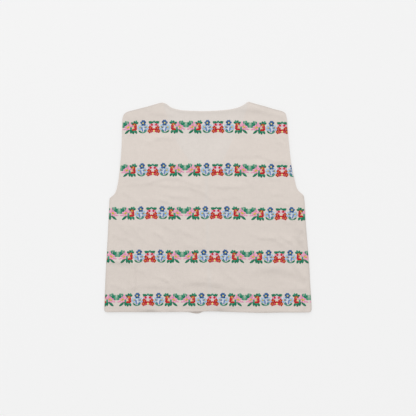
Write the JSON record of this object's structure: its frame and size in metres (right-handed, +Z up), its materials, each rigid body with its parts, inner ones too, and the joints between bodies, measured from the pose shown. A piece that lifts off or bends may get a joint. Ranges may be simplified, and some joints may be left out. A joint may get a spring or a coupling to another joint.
{
  "type": "embroidered waistcoat",
  "caption": "Child's sleeveless waistcoat laid flat, its back up over V-necked fronts that meet edge to edge, with bands of floral embroidery.",
  "frame": {"origin": "on the surface that the garment lies on, below the middle of its box", "axes": "+Z up from the surface through the fronts and then the back, +Y from the hem to the neck, +X to the wearer's right"},
  "size_m": [0.3742, 0.3822, 0.0057],
  "materials": {
    "back_cloth": "matt woven cotton in natural off-white, with bands of coloured embroidery",
    "front_cloth": "matt woven cotton in natural off-white, with bands of coloured embroidery"
  },
  "bodies": {
    "root": {"back": "back_cloth", "front_left": "front_cloth", "front_right": "front_cloth"}
  },
  "joints": []
}
